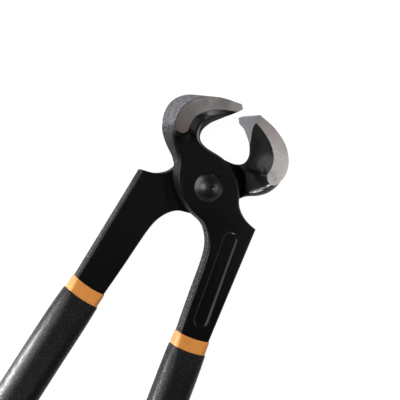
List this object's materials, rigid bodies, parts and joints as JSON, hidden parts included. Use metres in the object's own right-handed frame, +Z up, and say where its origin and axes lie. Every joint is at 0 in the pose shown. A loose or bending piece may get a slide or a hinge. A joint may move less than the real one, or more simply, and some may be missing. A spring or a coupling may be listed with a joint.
{
  "type": "end cutting nippers",
  "caption": "End cutting nippers: hooked jaws with a wide cutting edge across the end, a riveted lap joint and long dipped handles.",
  "frame": {"origin": "centre of the tool's outline on the plane it lies on", "axes": "+Y along the tool towards the jaws, +Z up out of the plane it lies on, along the rivet"},
  "size_m": [0.0844, 0.201, 0.0209],
  "materials": {
    "black_steel": "satin black over forged steel, jaws ground bright",
    "rivet_steel": "gloss black",
    "orange_dip": "gloss dipped PVC",
    "black_grip": "fine sand grain dipped PVC"
  },
  "bodies": {
    "front": {"front_half": "black_steel", "rivet": "rivet_steel", "front_sleeve": "orange_dip", "front_grip": "black_grip"},
    "rear": {"rear_half": "black_steel", "rear_sleeve": "orange_dip", "rear_grip": "black_grip"}
  },
  "joints": [
    {"name": "jaw_pivot", "type": "hinge", "parent": "front", "child": "rear", "pos_m": [0, 0.06467, 0.0104], "axis": [0, 0, 1], "range_deg": [-16, 9.8]}
  ]
}
